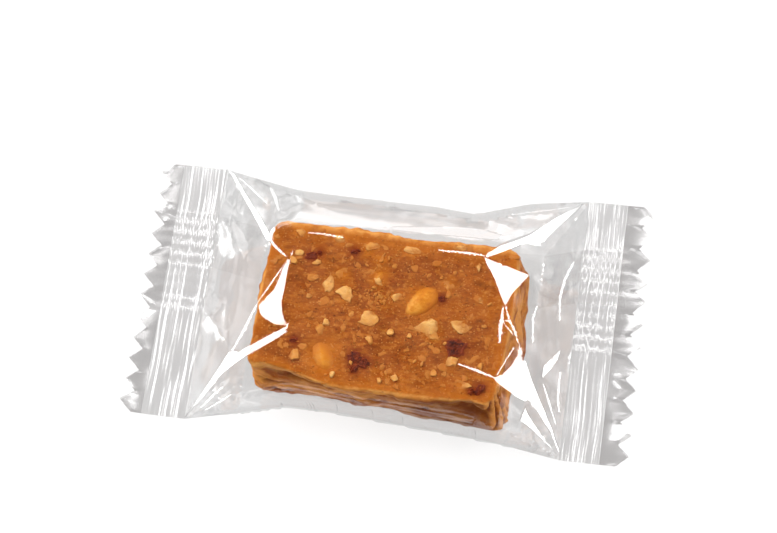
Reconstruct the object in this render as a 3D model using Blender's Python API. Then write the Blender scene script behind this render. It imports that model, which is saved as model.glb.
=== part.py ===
"""A peanut candy bar sealed in a clear flow wrap, as one closed solid in metres.

The wrap is a film tube, pressed flat and crimped at both ends and cut to a zigzag there.
Between its end seals it stands away from the bar at the sides and lies tight over the
bar's flat top and under its base. Its long seam is a fin, folded flat underneath.

The solid is two sheets of points, the wrap's upper and lower side, joined round their rim.
Each row of points is one station along the wrap, from the left cut edge to the right one.
Origin: on the surface the wrap rests on, under the middle of its box. +X runs along the
wrap, +Y to the side the fin is folded to, +Z up.
"""

import math
from collections import namedtuple

import bmesh
import bpy

MM = 0.001

# The candy bar lies a little askew in its wrap and nearer to the front of it.
BAR_LENGTH = 42.0 * MM
BAR_WIDTH = 27.0 * MM
BAR_HEIGHT = 10.6 * MM
BAR_SHIFT = -1.75 * MM
BAR_TURN = math.radians(-2.3)

# The film tube: its width where it is pressed flat, and half its width round the bar.
FLAT_WIDTH = 44.0 * MM
WAIST = 19.4 * MM
RIM_THICKNESS = 0.3 * MM

# The end seals, crimped in ridges across the wrap, with a plain zigzag fringe outside.
SEAL_HEIGHT = 5.3 * MM
SEAL_THICKNESS = 0.5 * MM
SEAL_START = 31.1 * MM
RIDGE_PITCH = 0.92 * MM
RIDGE_HEIGHT = 0.25 * MM
RIDGES = {-1: 8, 1: 7}
FRINGE = {-1: 3.6 * MM, 1: 4.52 * MM}
TOOTH_DEPTH = 1.8 * MM

# The long seam's fin, folded flat under the wrap from one lengthwise line to another.
FIN_THICKNESS = 0.3 * MM
FIN_LINES = (2, 7)
FIN_EDGE = 0.15 * MM

# Lengthwise lines of points: so many each side of the middle over the bar, and past it.
LINES_OVER_BAR = 7
LINES_PAST_BAR = 5
GAP_STATIONS = 7
BAR_STATIONS = 8

Station = namedtuple("Station", "x y turn flat front back low high teeth")


def mix(start, end, share):
    return start + (end - start) * share


def lines():
    """Each lengthwise line as its number from the middle, and a nudge off it at the fin's edges."""
    reach = LINES_OVER_BAR + LINES_PAST_BAR
    numbered = [(number, 0.0) for number in range(-reach, reach + 1)]
    edges = [(FIN_LINES[0], -FIN_EDGE), (FIN_LINES[1], FIN_EDGE)]
    return sorted(numbered + edges)


def seal_stations(side):
    """The fringe and the crimped ridges of one end seal, from its cut edge inwards."""
    stations = []
    half = FLAT_WIDTH / 2
    flat = half * LINES_OVER_BAR / (LINES_OVER_BAR + LINES_PAST_BAR)
    ridges_end = SEAL_START + RIDGES[side] * RIDGE_PITCH

    def add(x, lift=0.0, teeth=0.0):
        low = SEAL_HEIGHT - SEAL_THICKNESS / 2 + lift
        high = SEAL_HEIGHT + SEAL_THICKNESS / 2 + lift
        stations.append(Station(side * x, 0.0, 0.0, flat, half, half, low, high, side * teeth))

    add(ridges_end + FRINGE[side] - TOOTH_DEPTH, teeth=TOOTH_DEPTH)
    add(ridges_end + RIDGE_PITCH / 2)
    for step in range(2 * RIDGES[side], -1, -1):
        lift = RIDGE_HEIGHT if step % 2 else -RIDGE_HEIGHT
        add(SEAL_START + step * RIDGE_PITCH / 2, lift=lift)
    return stations


def bar_station(along):
    """The wrap's section round the bar, at a distance from the bar's middle along it."""
    drift = along * math.sin(BAR_TURN)
    return Station(
        x=along * math.cos(BAR_TURN),
        y=BAR_SHIFT + drift,
        turn=BAR_TURN,
        flat=BAR_WIDTH / 2,
        front=WAIST + BAR_SHIFT + drift,
        back=WAIST - BAR_SHIFT - drift,
        low=0.0,
        high=BAR_HEIGHT,
        teeth=0.0,
    )


def gap_stations(seal, bar):
    """The film's taut slope from a seal to the bar's end, without either of them."""
    shares = [step / (GAP_STATIONS + 1) for step in range(1, GAP_STATIONS + 1)]
    return [Station(*(mix(a, b, share) for a, b in zip(seal, bar))) for share in shares]


def all_stations():
    left, right = seal_stations(-1), seal_stations(1)[::-1]
    steps = range(BAR_STATIONS + 1)
    over_bar = [bar_station(mix(-BAR_LENGTH / 2, BAR_LENGTH / 2, i / BAR_STATIONS)) for i in steps]
    into_bar = gap_stations(left[-1], over_bar[0])
    out_of_bar = gap_stations(right[0], over_bar[-1])[::-1]
    return left + into_bar + over_bar + out_of_bar + right


def section(station):
    """The points of one station as (x, y, high, low), from the front rim to the back one."""
    middle = (station.low + station.high) / 2
    half_height = (station.high - station.low) / 2
    fullness = min(1.0, half_height / (BAR_HEIGHT / 2))
    points = []
    for number, nudge in lines():
        past = max(0, abs(number) - LINES_OVER_BAR) / LINES_PAST_BAR
        reach = station.back if number > 0 else station.front
        if past > 0:
            share = mix(past, math.sin(past * math.pi / 2), fullness)
            offset = math.copysign(mix(station.flat, reach, share), number)
        else:
            share = 0.0
            offset = station.flat * number / LINES_OVER_BAR + nudge
        bulge = mix(1.0, math.sqrt(1 - share**2), fullness)
        rise = max(half_height * bulge, RIM_THICKNESS / 2)
        fin = FIN_THICKNESS if nudge == 0 and FIN_LINES[0] <= number <= FIN_LINES[1] else 0.0
        tooth = station.teeth if number % 2 else 0.0
        x = station.x + tooth - offset * math.sin(station.turn)
        y = station.y + offset * math.cos(station.turn)
        points.append((x, y, middle + rise, max(0.0, middle - rise - fin)))
    return points


def bridge(mesh, rows):
    """Fills the cells of a grid of vertices, given as rows."""
    for row, following in zip(rows, rows[1:]):
        for i in range(len(row) - 1):
            mesh.faces.new((row[i], following[i], following[i + 1], row[i + 1]))


def wrap_mesh():
    mesh = bmesh.new()
    upper, lower = [], []
    for station in all_stations():
        points = section(station)
        upper.append([mesh.verts.new((x, y, high)) for x, y, high, _ in points])
        lower.append([mesh.verts.new((x, y, low)) for x, y, _, low in points])
    bridge(mesh, upper)
    bridge(mesh, [row[::-1] for row in lower])
    bridge(mesh, [[bottom[0], top[0]] for top, bottom in zip(upper, lower)])
    bridge(mesh, [[top[-1], bottom[-1]] for top, bottom in zip(upper, lower)])
    bridge(mesh, list(zip(upper[0], lower[0])))
    bridge(mesh, list(zip(lower[-1], upper[-1])))
    bmesh.ops.recalc_face_normals(mesh, faces=mesh.faces)
    data = bpy.data.meshes.new("wrapped_candy")
    mesh.to_mesh(data)
    mesh.free()
    return data


def wrap_material():
    """Clear film over a caramel-brown bar, seen together as one glossy surface."""
    material = bpy.data.materials.new("wrapped_candy")
    material.use_nodes = True
    shader = material.node_tree.nodes["Principled BSDF"]
    shader.inputs["Base Color"].default_value = (0.46, 0.24, 0.09, 1.0)
    shader.inputs["Roughness"].default_value = 0.15
    shader.inputs["Metallic"].default_value = 0.0
    return material


def main():
    for leftover in list(bpy.data.objects):
        bpy.data.objects.remove(leftover)
    candy = bpy.data.objects.new("wrapped_candy", wrap_mesh())
    candy.data.materials.append(wrap_material())
    bpy.context.scene.collection.objects.link(candy)


main()
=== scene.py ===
# %% [markdown]
# # A peanut candy in a clear flow wrap
# This lesson builds one small sweet: a soft bar of kneaded peanut paste with chopped nuts in it,
# sealed in a clear film tube with two crimped ends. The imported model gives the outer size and
# the surface that the sweet rests on. Everything seen here is made around it, in millimetres
# while we think about shapes, and turned to metres when a mesh is made.

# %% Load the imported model
import math

import bmesh
import bpy
import numpy as np
from mathutils import Matrix, Vector, noise
from mathutils.bvhtree import BVHTree
from mathutils.geometry import delaunay_2d_cdt
from mathutils.kdtree import KDTree


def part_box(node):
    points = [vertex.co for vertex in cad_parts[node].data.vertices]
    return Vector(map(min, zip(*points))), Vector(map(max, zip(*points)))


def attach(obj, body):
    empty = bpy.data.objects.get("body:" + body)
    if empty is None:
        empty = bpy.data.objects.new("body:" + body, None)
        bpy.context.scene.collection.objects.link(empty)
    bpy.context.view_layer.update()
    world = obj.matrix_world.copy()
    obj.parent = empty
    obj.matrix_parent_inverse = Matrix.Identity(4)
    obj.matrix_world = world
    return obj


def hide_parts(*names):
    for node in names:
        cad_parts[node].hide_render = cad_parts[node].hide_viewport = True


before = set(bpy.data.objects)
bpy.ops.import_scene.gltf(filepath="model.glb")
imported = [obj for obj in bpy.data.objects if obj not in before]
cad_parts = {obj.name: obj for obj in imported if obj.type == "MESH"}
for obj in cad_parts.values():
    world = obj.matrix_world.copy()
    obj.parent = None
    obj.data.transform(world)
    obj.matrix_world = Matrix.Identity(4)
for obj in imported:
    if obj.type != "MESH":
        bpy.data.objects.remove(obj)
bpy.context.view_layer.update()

mm = 0.001
wrap_low, wrap_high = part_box("wrapped_candy")
wrap_size = [(high - low) / mm for low, high in zip(wrap_low, wrap_high)]
print("wrap, mm:", [round(side, 2) for side in wrap_size])

# %% [markdown]
# ## Driving sizes
# A flow wrap has few sizes that matter: the flat width of the film tube, where the crimped band
# starts and stops, and how high the seal hangs. The bar inside takes half of the wrap's length.
# It lies a little askew and nearer to the front, as a loose sweet does. X runs along the wrap,
# Y to its back and Z up. Where the two ends differ, a value is kept for each: -1 is the left
# end and 1 the right.

# %% Name the sizes once
wrap_length, flat_width, bar_height = wrap_size
half_length = wrap_length / 2
half_flat = flat_width / 2
bar_length = wrap_length * 0.499
bar_width = flat_width * 0.614
bar_shift = -1.75
bar_turn = math.radians(-2.3)
seal_height = bar_height / 2
end_length = 10.96
seal_start = half_length - end_length
crimp_width = {-1: 7.36, 1: 6.44}
teeth = 12
tooth_depth = 1.9
fin_front, fin_back = 4.4, 13.6
print("bar, mm:", round(bar_length, 1), round(bar_width, 1), round(bar_height, 1))

# %% [markdown]
# ## Shared helpers
# Random pieces come from one seeded generator, so that each run makes the same sweet. A small
# function turns points in millimetres into a smooth mesh object and gives it its finish. Soft
# unevenness comes from smooth noise, which gives the same value at the same place every time.

# %% Helpers for meshes
chance = np.random.default_rng(41)


def make_piece(name, points, faces, finish, merge=0.0):
    """A smooth mesh object from points in millimetres."""
    mesh = bpy.data.meshes.new(name)
    mesh.from_pydata((np.asarray(points) * mm).tolist(), [], [list(map(int, f)) for f in faces])
    if merge:
        shape = bmesh.new()
        shape.from_mesh(mesh)
        bmesh.ops.remove_doubles(shape, verts=shape.verts, dist=merge * mm)
        bmesh.ops.dissolve_degenerate(shape, edges=shape.edges, dist=1e-3 * mm)
        bmesh.ops.recalc_face_normals(shape, faces=shape.faces)
        shape.to_mesh(mesh)
        shape.free()
    mesh.shade_smooth()
    mesh.materials.append(finish)
    piece = bpy.data.objects.new(name, mesh)
    bpy.context.scene.collection.objects.link(piece)
    return piece


def grid_faces(rows, columns, start=0, flip=False):
    """Four-sided faces over a grid of points that is stored row by row."""
    faces = []
    for i in range(rows - 1):
        for j in range(columns - 1):
            corner = start + i * columns + j
            face = (corner, corner + columns, corner + columns + 1, corner + 1)
            faces.append(face[::-1] if flip else face)
    return faces


def smoothstep(value, low, high):
    """0 up to low, 1 from high on, and an S curve between them."""
    share = np.clip((value - low) / (high - low), 0.0, 1.0)
    return share * share * (3 - 2 * share)


def wobble(x, y, z):
    """Smooth noise at a place, between about -1 and 1."""
    return noise.noise(Vector((x, y, z)))

# %% [markdown]
# Finishes, lights and the room are all made of nodes. Blender needs one line to add a node, one
# for each setting and one for each link. A small class takes that up: we name a node and say
# what feeds each of its inputs, which is a number, a colour or another node's output.

# %% Helper for nodes


class Wiring:
    """The nodes of a material, a light or the world, with short words for what repeats."""

    def __init__(self, owner):
        owner.use_nodes = True
        self.nodes, self.links = owner.node_tree.nodes, owner.node_tree.links

    def feed(self, socket, value):
        """Link an output into a socket, or set the socket's own value."""
        if isinstance(value, bpy.types.NodeSocket):
            self.links.new(value, socket)
        else:
            socket.default_value = value

    def add(self, kind, inputs=None, **settings):
        """A new node, with the inputs by name or number and the node's own settings."""
        node = self.nodes.new("ShaderNode" + kind)
        for name, setting in settings.items():
            setattr(node, name, setting)
        for key, value in (inputs or {}).items():
            self.feed(node.inputs[key], value)
        return node

    def reckon(self, how, first, second):
        """Two numbers joined by a Math node, with the operation named as Blender names it."""
        return self.add("Math", {0: first, 1: second}, operation=how).outputs[0]

    def between(self, value, low, high, to_low=0.0, to_high=1.0, curve="LINEAR"):
        """Rescale a value, held to the new range."""
        ranges = {"From Min": low, "From Max": high, "To Min": to_low, "To Max": to_high}
        node = self.add("MapRange", {"Value": value, **ranges}, interpolation_type=curve)
        return node.outputs["Result"]

    def blend(self, share, first, second):
        """Two colours mixed. A colour is three numbers or another blend."""
        ends = [(*colour, 1) if isinstance(colour, tuple) else colour for colour in (first, second)]
        return self.add("Mix", {"Factor": share, 6: ends[0], 7: ends[1]}, data_type="RGBA").outputs[2]

    def choose(self, share, first, second):
        """Two shaders mixed."""
        return self.add("MixShader", {"Fac": share, 1: first, 2: second}).outputs["Shader"]

# %% [markdown]
# ## Camera
# A small thing on a table is usually shown from well above, through a long lens that keeps its
# near and far ends the same size. We place the camera by two angles and a roll round the line of
# sight, because angles are easier to judge than coordinates. The camera comes first, since the
# film's highlights are shaped for the place they are seen from.

# %% Camera
camera_azimuth, camera_height, camera_roll = (math.radians(a) for a in (31.0, 70.86, -24.1))
camera_distance = 338.7 * mm
camera_target = Vector((-0.4, 6.7, 8.1)) * mm
lens_length, sensor_width = 94.8, 36


def aim_camera():
    """A long lens that looks down on the sweet from its front right."""
    level = math.cos(camera_height)
    back = Vector((math.sin(camera_azimuth) * level, -math.cos(camera_azimuth) * level,
                   math.sin(camera_height)))
    right = Vector((math.cos(camera_azimuth), math.sin(camera_azimuth), 0))
    up = back.cross(right)
    side = right * math.cos(camera_roll) + up * math.sin(camera_roll)
    top = up * math.cos(camera_roll) - right * math.sin(camera_roll)
    place = Matrix((side, top, back)).transposed().to_4x4()
    place.translation = camera_target + back * camera_distance
    lens = bpy.data.cameras.new("camera")
    lens.lens = lens_length
    lens.sensor_width = sensor_width
    lens.clip_start = 10 * mm
    camera = bpy.data.objects.new("camera", lens)
    camera.matrix_world = place
    bpy.context.scene.collection.objects.link(camera)
    bpy.context.scene.camera = camera
    return camera


camera = aim_camera()
print("camera at, mm:", [round(v / mm) for v in camera.location])

# %% [markdown]
# ## Light
# Clear film shows only what it mirrors, so the light matters as much as the shape. Bare lamps
# would give pinpricks, and one big dome an even haze over the candy. Three bright soft boxes,
# left, back and side, and a wide dim card behind give separate highlights instead. A facet of
# film that leans towards one turns white, and a flat one stays clear. Each box fades towards its
# edges, as a lamp behind cloth does, so no highlight ends in a hard line by itself.

# %% Soft boxes
box_distance = 0.7
box_fade = 0.16


def light_way(azimuth, height):
    """Direction from the sweet at a compass angle from +X and a height angle, in degrees."""
    flat, up = math.radians(azimuth), math.radians(height)
    return Vector((math.cos(flat) * math.cos(up), math.sin(flat) * math.cos(up), math.sin(up)))


def soft_box(name, azimuth, height, size, radiance):
    """An area light that faces the sweet and fades over a share of its width at each edge."""
    light = bpy.data.lights.new(name, "AREA")
    light.shape = "RECTANGLE"
    light.size, light.size_y = size
    light.energy = radiance * math.pi * size[0] * size[1]
    wiring = Wiring(light)
    split = wiring.add("SeparateXYZ", {"Vector": wiring.add("NewGeometry").outputs["Parametric"]})
    fades = []
    for axis in ("X", "Y"):
        from_edge = wiring.reckon("PINGPONG", split.outputs[axis], 0.5)
        fades.append(wiring.between(from_edge, 0.0, box_fade, curve="SMOOTHSTEP"))
    wiring.feed(wiring.nodes["Emission"].inputs["Strength"], wiring.reckon("MULTIPLY", *fades))
    box = bpy.data.objects.new(name, light)
    way = light_way(azimuth, height)
    box.location = way * box_distance
    box.rotation_euler = way.to_track_quat("Z", "Y").to_euler()
    bpy.context.scene.collection.objects.link(box)


# Each box: compass angle, height angle, width and height in metres, brightness.
boxes = {"left": (158, 46, (0.55, 0.36), 10.5), "back": (54, 54, (0.26, 0.20), 12.0),
         "side": (5, 52, (0.19, 0.24), 12.0), "card": (98, 33, (0.60, 0.38), 2.4)}
for name, (azimuth, height, size, radiance) in boxes.items():
    soft_box(f"{name}_box", azimuth, height, size, radiance)
print("soft boxes:", list(boxes))

# %% [markdown]
# ### Surroundings
# Between the boxes the film mirrors a room. An even grey room would lay one grey veil over the
# candy, and a black one would hide the film. Smooth noise makes a patchy room instead, light low
# down and nearly dark overhead, where a flat piece of film looks. The camera sees plain light
# grey, so the patches show only as reflections.

# %% Room


def surroundings():
    """Dark above and patchy lower down for the film to mirror; plain grey to the camera."""
    room = bpy.data.worlds.new("studio_room")
    wiring = Wiring(room)
    way = wiring.add("TexCoord").outputs["Generated"]
    rise = wiring.add("SeparateXYZ", {"Vector": way}).outputs["Z"]
    low_down = wiring.between(rise, 0.88, 0.55, 0.05, 1.0, "SMOOTHSTEP")
    cards = wiring.add("TexNoise", {"Vector": way, "Scale": 4.5, "Detail": 2.0}).outputs["Fac"]
    patches = wiring.between(cards, 0.42, 0.62, 0.05, 1.9)
    mirrored = wiring.nodes["Background"]
    wiring.feed(mirrored.inputs["Color"], (1.0, 0.99, 0.985, 1))
    wiring.feed(mirrored.inputs["Strength"], wiring.reckon("MULTIPLY", low_down, patches))
    plain = wiring.add("Background", {"Color": (0.86, 0.86, 0.86, 1)})
    to_camera = wiring.add("LightPath").outputs["Is Camera Ray"]
    seen = wiring.choose(to_camera, mirrored.outputs["Background"], plain.outputs["Background"])
    wiring.feed(wiring.nodes["World Output"].inputs["Surface"], seen)
    bpy.context.scene.world = room


surroundings()
bpy.context.scene.view_settings.view_transform = "Standard"
print("room:", bpy.context.scene.world.name)

# %% [markdown]
# ### Table
# The sweet lies on a plain white table that fills the view, so one flat face is enough. A white
# finish would go dark in the sweet's shadow under these few lights. So the table is grey and
# glows as well: it looks white, and its shadow stays pale, as in a room with light from all
# sides.

# %% Table
table_reach = 1500
table_drop = -0.02


def table_finish():
    """Matt grey that glows, and so looks white."""
    finish = bpy.data.materials.new("white_table")
    wiring = Wiring(finish)
    shader = wiring.nodes["Principled BSDF"]
    settings = {"Roughness": 0.9, "Specular IOR Level": 0.1,
                "Emission Color": (1.0, 0.995, 0.99, 1), "Emission Strength": 0.7}
    for key, value in settings.items():
        wiring.feed(shader.inputs[key], value)
    cloud = wiring.add("TexNoise", {"Scale": 3.0}).outputs["Fac"]
    tone = wiring.between(cloud, 0.0, 1.0, 0.24, 0.26)
    paint = wiring.add("CombineColor", {"Red": tone, "Green": tone, "Blue": tone})
    wiring.feed(shader.inputs["Base Color"], paint.outputs["Color"])
    return finish


table_corners = [(x * table_reach, y * table_reach, table_drop)
                 for x, y in ((-1, -1), (1, -1), (1, 1), (-1, 1))]
table = make_piece("table", table_corners, [(0, 1, 2, 3)], table_finish())
print("table, m:", 2 * table_reach * mm)

# %% [markdown]
# ## The film's finish
# Packing film is a thin sheet of clear plastic. A ray passes nearly straight through it, so a
# refracting glass shader would be wrong for a sheet with no thickness. We mix a Transparent and
# a Glossy shader instead. The share that mirrors is that of a thin slab: both faces reflect, so
# a Fresnel value r becomes 2r / (1 + r). Light that only casts a shadow passes almost whole.
# The crimped ends get the same finish, but greyer and less sharp, because the smallest of their
# ridges are finer than the mesh and scatter what they mirror.

# %% Film material
slanted_tint = 0.72


def film_finish(name, tint, gloss, density=1.7):
    """A clear sheet that tints what is behind it, more so at a slant, and mirrors its surroundings."""
    finish = bpy.data.materials.new(name)
    wiring = Wiring(finish)
    wiring.nodes.clear()
    slant = wiring.add("LayerWeight", {"Blend": 0.5}).outputs["Facing"]
    behind = wiring.blend(slant, tint, tuple(slanted_tint * t for t in tint))
    clear = wiring.add("BsdfTransparent", {"Color": behind}).outputs["BSDF"]
    mirror = wiring.add("BsdfGlossy", {"Roughness": gloss}).outputs["BSDF"]
    backfacing = wiring.add("NewGeometry").outputs["Backfacing"]
    index = wiring.between(backfacing, 0.0, 1.0, density, 1 / density)
    one_face = wiring.add("Fresnel", {"IOR": index}).outputs["Fac"]
    both_faces = wiring.reckon("MULTIPLY", one_face, 2.0)
    slab = wiring.reckon("DIVIDE", both_faces, wiring.reckon("ADD", one_face, 1.0))
    sheet = wiring.choose(slab, clear, mirror)
    lit_through = wiring.add("BsdfTransparent", {"Color": (0.97, 0.97, 0.97, 1)}).outputs["BSDF"]
    in_shadow = wiring.add("LightPath").outputs["Is Shadow Ray"]
    wiring.add("OutputMaterial", {"Surface": wiring.choose(in_shadow, sheet, lit_through)})
    return finish


film = film_finish("clear_film", (0.935, 0.935, 0.936), 0.10)
seal_film = film_finish("seal_film", (0.635, 0.628, 0.625), 0.29)
cut_film = film_finish("cut_film", (0.72, 0.712, 0.71), 0.26)
fin_film = film_finish("fin_film", (0.985, 0.982, 0.98), 0.3, 1.25)
print("films:", [finish.name for finish in (film, seal_film, cut_film, fin_film)])

# %% [markdown]
# ## The sleeve as a pillow
# Drawn over a block and sealed flat at both ends, film takes the form of a stretched pillow. It
# runs down from a ridge along each long side of the bar to the sleeve's widest line, and each end
# falls to its seal like a hip roof. A cloth simulation could find such a form too, but its folds
# fall where they like and take long. A formula for the height at any place gives the same
# pillow, and lets us choose each fold.

# %% Lines that shape the sleeve
line_step = 0.55
cross_lines = np.linspace(-seal_start, seal_start, int(round(2 * seal_start / line_step)) + 1)
rim_rounds = 6


def ridge(*corners):
    """A line of corners that starts and ends at the corners of the seals."""
    side = math.copysign(half_flat, corners[0][1])
    return np.array([(-seal_start, side, seal_height), *corners, (seal_start, side, seal_height)])


def rim(*corners):
    """The same, cut at every cross line and with its corners rounded."""
    xs, ys, zs = ridge(*corners).T
    line = np.stack([cross_lines, np.interp(cross_lines, xs, ys), np.interp(cross_lines, xs, zs)], 1)
    for _ in range(rim_rounds):
        line = np.concatenate([line[:1], (line[:-2] + 2 * line[1:-1] + line[2:]) / 4, line[-1:]])
    return line


upper_back = ridge((-20.9, 9.4, 11.9), (-19.9, 10.4, 12.0), (-16.8, 11.0, 12.0), (-7, 11.4, 11.7),
                   (8.2, 11.2, 11.8), (17.5, 10.8, 12.1), (21.3, 11.6, 11.6))
upper_front = ridge((-20.9, -12.3, 11.8), (-14, -11.4, 12.0), (0, -11.8, 11.7), (12, -12.0, 12.0),
                    (19.8, -11.2, 12.1), (21.3, -13.4, 11.7))
lower_back = ridge((-23.6, 12.6, 0.08), (24.4, 13.4, 0.08))
lower_front = ridge((-23.8, -14.6, 0.08), (24.0, -17.0, 0.08))
back_rim = rim((-24.8, 20.7, 5.4), (-18.3, 19.4, 5.6), (-9, 19.1, 5.2), (6, 18.7, 5.3),
               (12.5, 17.9, 5.6), (21.3, 20.7, 5.4))
front_rim = rim((-23.7, -20.3, 5.1), (-14.4, -17.8, 4.6), (-5.4, -18.2, 5.0), (11.4, -19.5, 5.1),
                (20.6, -20.3, 5.2))
print("widest lines:", len(front_rim) + len(back_rim), "points")

# %% Height of the pillow


def pillow(plan, front_ridge, back_ridge, front_bow, back_bow):
    """Height of one half of the sleeve. A bow is (power, start, full): how round a side is."""
    x, y = plan.T

    def at(line, axis):
        return np.interp(x, line[:, 0], line[:, axis])

    share = (y - at(front_ridge, 1)) / np.maximum(at(back_ridge, 1) - at(front_ridge, 1), 1e-6)
    height = at(front_ridge, 2) + (at(back_ridge, 2) - at(front_ridge, 2)) * np.clip(share, 0, 1)
    for crest, widest, (power, start, full) in ((front_ridge, front_rim, front_bow),
                                                (back_ridge, back_rim, back_bow)):
        span = at(widest, 1) - at(crest, 1)
        out = (y - at(crest, 1)) / np.where(abs(span) < 1e-6, 1e-6, span)
        out = np.where(abs(span) < 1e-6, 1, out)
        held = np.clip(out, 0, 1)
        bow = smoothstep(seal_start - abs(x), start, full)
        down = (1 - bow) * (1 - held) + bow * (1 - held**power) ** (1 / power)
        side = at(widest, 2) + (at(crest, 2) - at(widest, 2)) * down
        height = np.where(out > 0, side, height)
    return height

# %% [markdown]
# ### Facets that catch the light
# The film shows as a few bright shapes with sharp edges, and each is a flat facet that mirrors a
# soft box. A mirror faces halfway between the eye and the light, and from that follows the
# facet's slope. So a facet is an outline on the plan, and the name of the box to mirror. Of all
# the slopes that show some part of the box, we take the one that bends the film least.

# %% Slope of a facet
facet_height = 8.0
tries = 5


def slope_to(box, outline, natural, spread):
    """Slope of a mirror that shows the camera a box: the one nearest to the film's own slope."""
    middle = Vector((*np.mean(outline, axis=0), facet_height)) * mm
    azimuth, height, size, _ = boxes[box]
    wide, tall = (math.degrees(side / box_distance) * spread for side in size)
    found = []
    for turn in np.linspace(-wide, wide, tries) / math.cos(math.radians(height)):
        for rise in np.linspace(-tall, tall, tries):
            light = light_way(azimuth + turn, height + rise) * box_distance - middle
            half = light.normalized() + (camera.location - middle).normalized()
            found.append((-half.x / half.z, -half.y / half.z))
    found = np.array(found)
    return found[((found - natural) ** 2).sum(1).argmin()]

# %% [markdown]
# A crease catches the light as a thin bright line. One long, narrow facet would have to sink or
# rise a lot along its length to keep one slope. So we give a crease its outline as a ribbon, and
# cut that into short facets that each start again at the film's own height.

# %% Thin creases
piece_length, piece_gap = 1.1, 0.05
ribbon_tip = 0.4


def ribbon(line, width):
    """Outline of a thin crease along a line, narrower at both ends."""
    line = np.array(line, float)
    ways = np.gradient(line, axis=0)
    ways /= np.linalg.norm(ways, axis=1)[:, None]
    across = np.column_stack([-ways[:, 1], ways[:, 0]]) * width / 2
    taper = np.full(len(line), 1.0)
    taper[0] = taper[-1] = ribbon_tip
    across *= taper[:, None]
    return np.vstack([line + across, (line - across)[::-1]])


def short_pieces(outline):
    """A thin crease cut into short facets, so that each can face the light without sinking far."""
    half = len(outline) // 2
    sides = outline[:half], outline[half:][::-1]
    middle = (sides[0] + sides[1]) / 2
    along = np.concatenate([[0], np.cumsum(np.hypot(*np.diff(middle, axis=0).T))])
    count = max(1, math.ceil(along[-1] / piece_length))
    pieces = []
    for k in range(count):
        start, end = k / count * along[-1], (k + 1) / count * along[-1]
        cut = np.array([start + piece_gap / 2, end - piece_gap / 2])
        near, far = (np.column_stack([np.interp(cut, along, side[:, axis]) for axis in (0, 1)])
                     for side in sides)
        pieces.append(np.vstack([near, far[::-1]]))
    return pieces

# %% [markdown]
# A facet and the film round it differ in slope, so their edges can't meet everywhere. A narrow
# pleat round each facet takes up the difference, as a real crease does. The pleat is the strip
# between the facet's outline and a second outline just outside it.

# %% Pleat round a facet
pleat_width = 0.14


def widened(outline, by):
    """The outline moved outwards. It works for an outline given in either direction."""
    before, after = np.roll(outline, 1, axis=0), np.roll(outline, -1, axis=0)
    turn = np.sum(outline[:, 0] * after[:, 1] - after[:, 0] * outline[:, 1])
    normals = []
    for start, end in ((before, outline), (outline, after)):
        way = end - start
        length = np.maximum(np.hypot(*way.T), 1e-6)
        normals.append(np.column_stack([way[:, 1], -way[:, 0]]) / length[:, None])
    out = normals[0] + normals[1]
    out /= np.maximum((out**2).sum(1), 0.5)[:, None] / 2
    return outline + out * by * math.copysign(1, turn)

# %% [markdown]
# There are three kinds of marks, told apart by the first word of the name. A "line" is a thin
# crease. A "soft" mark has no pleat and pulls weakly, so the film only leans towards the light
# there and its edge stays blurred. Any other mark is a firm facet with sharp edges. A mark with
# no box keeps the film's own slope, and so stays plain. Where two marks overlap, the first in
# the list wins.

# %% Kinds of marks
# The share of its box that a mark's slope may choose from, and how hard the mark pulls.
mark_spread = {"line": 0.1, "soft": 0.25, "firm": 0.25}
mark_pull = {"line": 40.0, "soft": 2.0, "firm": 40.0}
pleat_pull = 0.01


def kind_of(name):
    """The first word of a mark's name, if that is one of the kinds."""
    first = name.split("_")[0]
    return first if first in mark_pull else "firm"

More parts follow.
